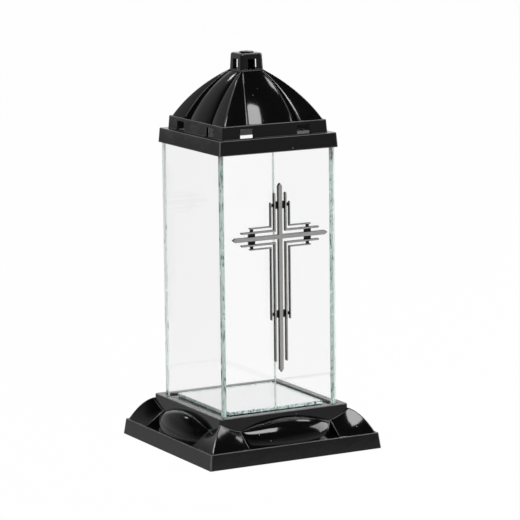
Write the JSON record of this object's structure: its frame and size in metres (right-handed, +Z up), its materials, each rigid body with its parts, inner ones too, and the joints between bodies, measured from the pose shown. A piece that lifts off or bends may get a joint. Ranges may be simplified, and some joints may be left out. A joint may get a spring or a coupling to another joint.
{
  "type": "grave lantern",
  "caption": "Square grave lantern with a hollow black base, glass panes round a mirror floor, a loose fluted lid with a chimney, and a stepped cross on the front pane.",
  "frame": {"origin": "middle of the ground under the base", "axes": "+Z up along the lantern's axis, -Y out of the front pane that carries the cross"},
  "size_m": [0.181, 0.181, 0.3716],
  "materials": {
    "gloss_black_plastic": "high gloss moulded",
    "clear_glass": "clear float glass, cut edges",
    "silvered_glass": "silvered, rough cut edges",
    "clear_adhesive": "clear, a little cloudy",
    "silver_stamped_plastic": "satin silver foil on the front faces, black sides"
  },
  "bodies": {
    "base": {"base_shell": "gloss_black_plastic", "mirror_pad_1": "clear_adhesive", "mirror_pad_2": "clear_adhesive", "mirror_pad_3": "clear_adhesive", "mirror_pad_4": "clear_adhesive", "mirror_floor": "silvered_glass", "pane_bedding": "clear_adhesive", "pane_front": "clear_glass", "pane_back": "clear_glass", "pane_left": "clear_glass", "pane_right": "clear_glass", "bond_front_left": "clear_adhesive", "bond_front_right": "clear_adhesive", "bond_back_left": "clear_adhesive", "bond_back_right": "clear_adhesive", "cross_adhesive": "clear_adhesive", "cross_ornament": "silver_stamped_plastic"},
    "lid": {"lid": "gloss_black_plastic"}
  },
  "joints": [
    {"name": "lid_lift", "type": "slide", "parent": "base", "child": "lid", "axis": [0, 0, 1], "range_m": [0, 0.16]}
  ]
}
